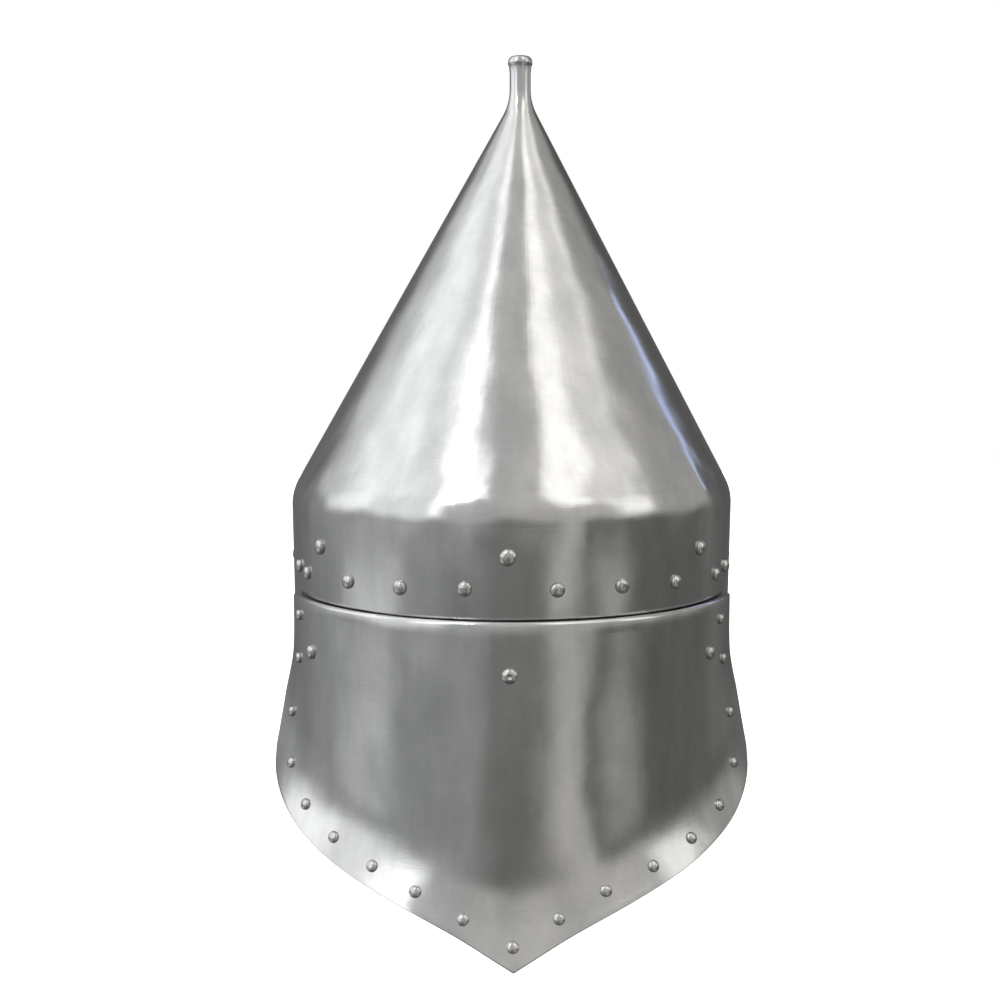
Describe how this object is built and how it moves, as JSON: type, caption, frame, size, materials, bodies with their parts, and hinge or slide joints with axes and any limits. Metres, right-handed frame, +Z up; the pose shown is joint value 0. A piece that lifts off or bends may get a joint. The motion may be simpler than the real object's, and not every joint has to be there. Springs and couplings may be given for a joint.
{
  "type": "conical steel helmet with a nape plate",
  "caption": "Tall conical steel helmet with a cylindrical band, a finial and a pointed nape plate hung at the back on riveted leather straps.",
  "frame": {"origin": "centre of the crown's open rim, where the helmet sits on a head", "axes": "+Z up to the finial, +Y the way the wearer faces, -Y the back with the nape plate, +X the wearer's right"},
  "size_m": [0.22, 0.2528, 0.3892],
  "materials": {
    "helmet_steel": "satin polished plate with a faint hammered waviness",
    "rivet_steel": "polished hand-peened heads",
    "strap_leather": "plain matt"
  },
  "bodies": {
    "root": {"crown": "helmet_steel", "nape_plate": "helmet_steel", "hanging_strap_left": "strap_leather", "hanging_strap_centre": "strap_leather", "hanging_strap_right": "strap_leather", "crown_strap_rivet_1": "rivet_steel", "crown_strap_rivet_2": "rivet_steel", "crown_strap_rivet_3": "rivet_steel", "plate_strap_rivet_1": "rivet_steel", "plate_strap_rivet_2": "rivet_steel", "plate_strap_rivet_3": "rivet_steel", "lining_rivet_01": "rivet_steel", "lining_rivet_02": "rivet_steel", "lining_rivet_03": "rivet_steel", "lining_rivet_04": "rivet_steel", "lining_rivet_05": "rivet_steel", "lining_rivet_06": "rivet_steel", "lining_rivet_07": "rivet_steel", "lining_rivet_08": "rivet_steel", "lining_rivet_09": "rivet_steel", "lining_rivet_10": "rivet_steel", "lining_rivet_11": "rivet_steel", "lining_rivet_12": "rivet_steel", "lining_rivet_13": "rivet_steel", "lining_rivet_14": "rivet_steel", "lining_rivet_15": "rivet_steel", "lining_rivet_16": "rivet_steel", "lining_rivet_17": "rivet_steel", "lining_rivet_18": "rivet_steel", "lining_rivet_19": "rivet_steel", "lining_rivet_20": "rivet_steel", "lining_rivet_21": "rivet_steel", "lining_rivet_22": "rivet_steel", "margin_rivet_01": "rivet_steel", "margin_rivet_02": "rivet_steel", "margin_rivet_03": "rivet_steel", "margin_rivet_04": "rivet_steel", "margin_rivet_05": "rivet_steel", "margin_rivet_06": "rivet_steel", "margin_rivet_07": "rivet_steel", "margin_rivet_08": "rivet_steel", "margin_rivet_09": "rivet_steel", "margin_rivet_10": "rivet_steel", "margin_rivet_11": "rivet_steel", "margin_rivet_12": "rivet_steel", "margin_rivet_13": "rivet_steel", "margin_rivet_14": "rivet_steel", "margin_rivet_15": "rivet_steel", "margin_rivet_16": "rivet_steel", "margin_rivet_17": "rivet_steel", "margin_rivet_18": "rivet_steel", "margin_rivet_19": "rivet_steel"}
  },
  "joints": []
}
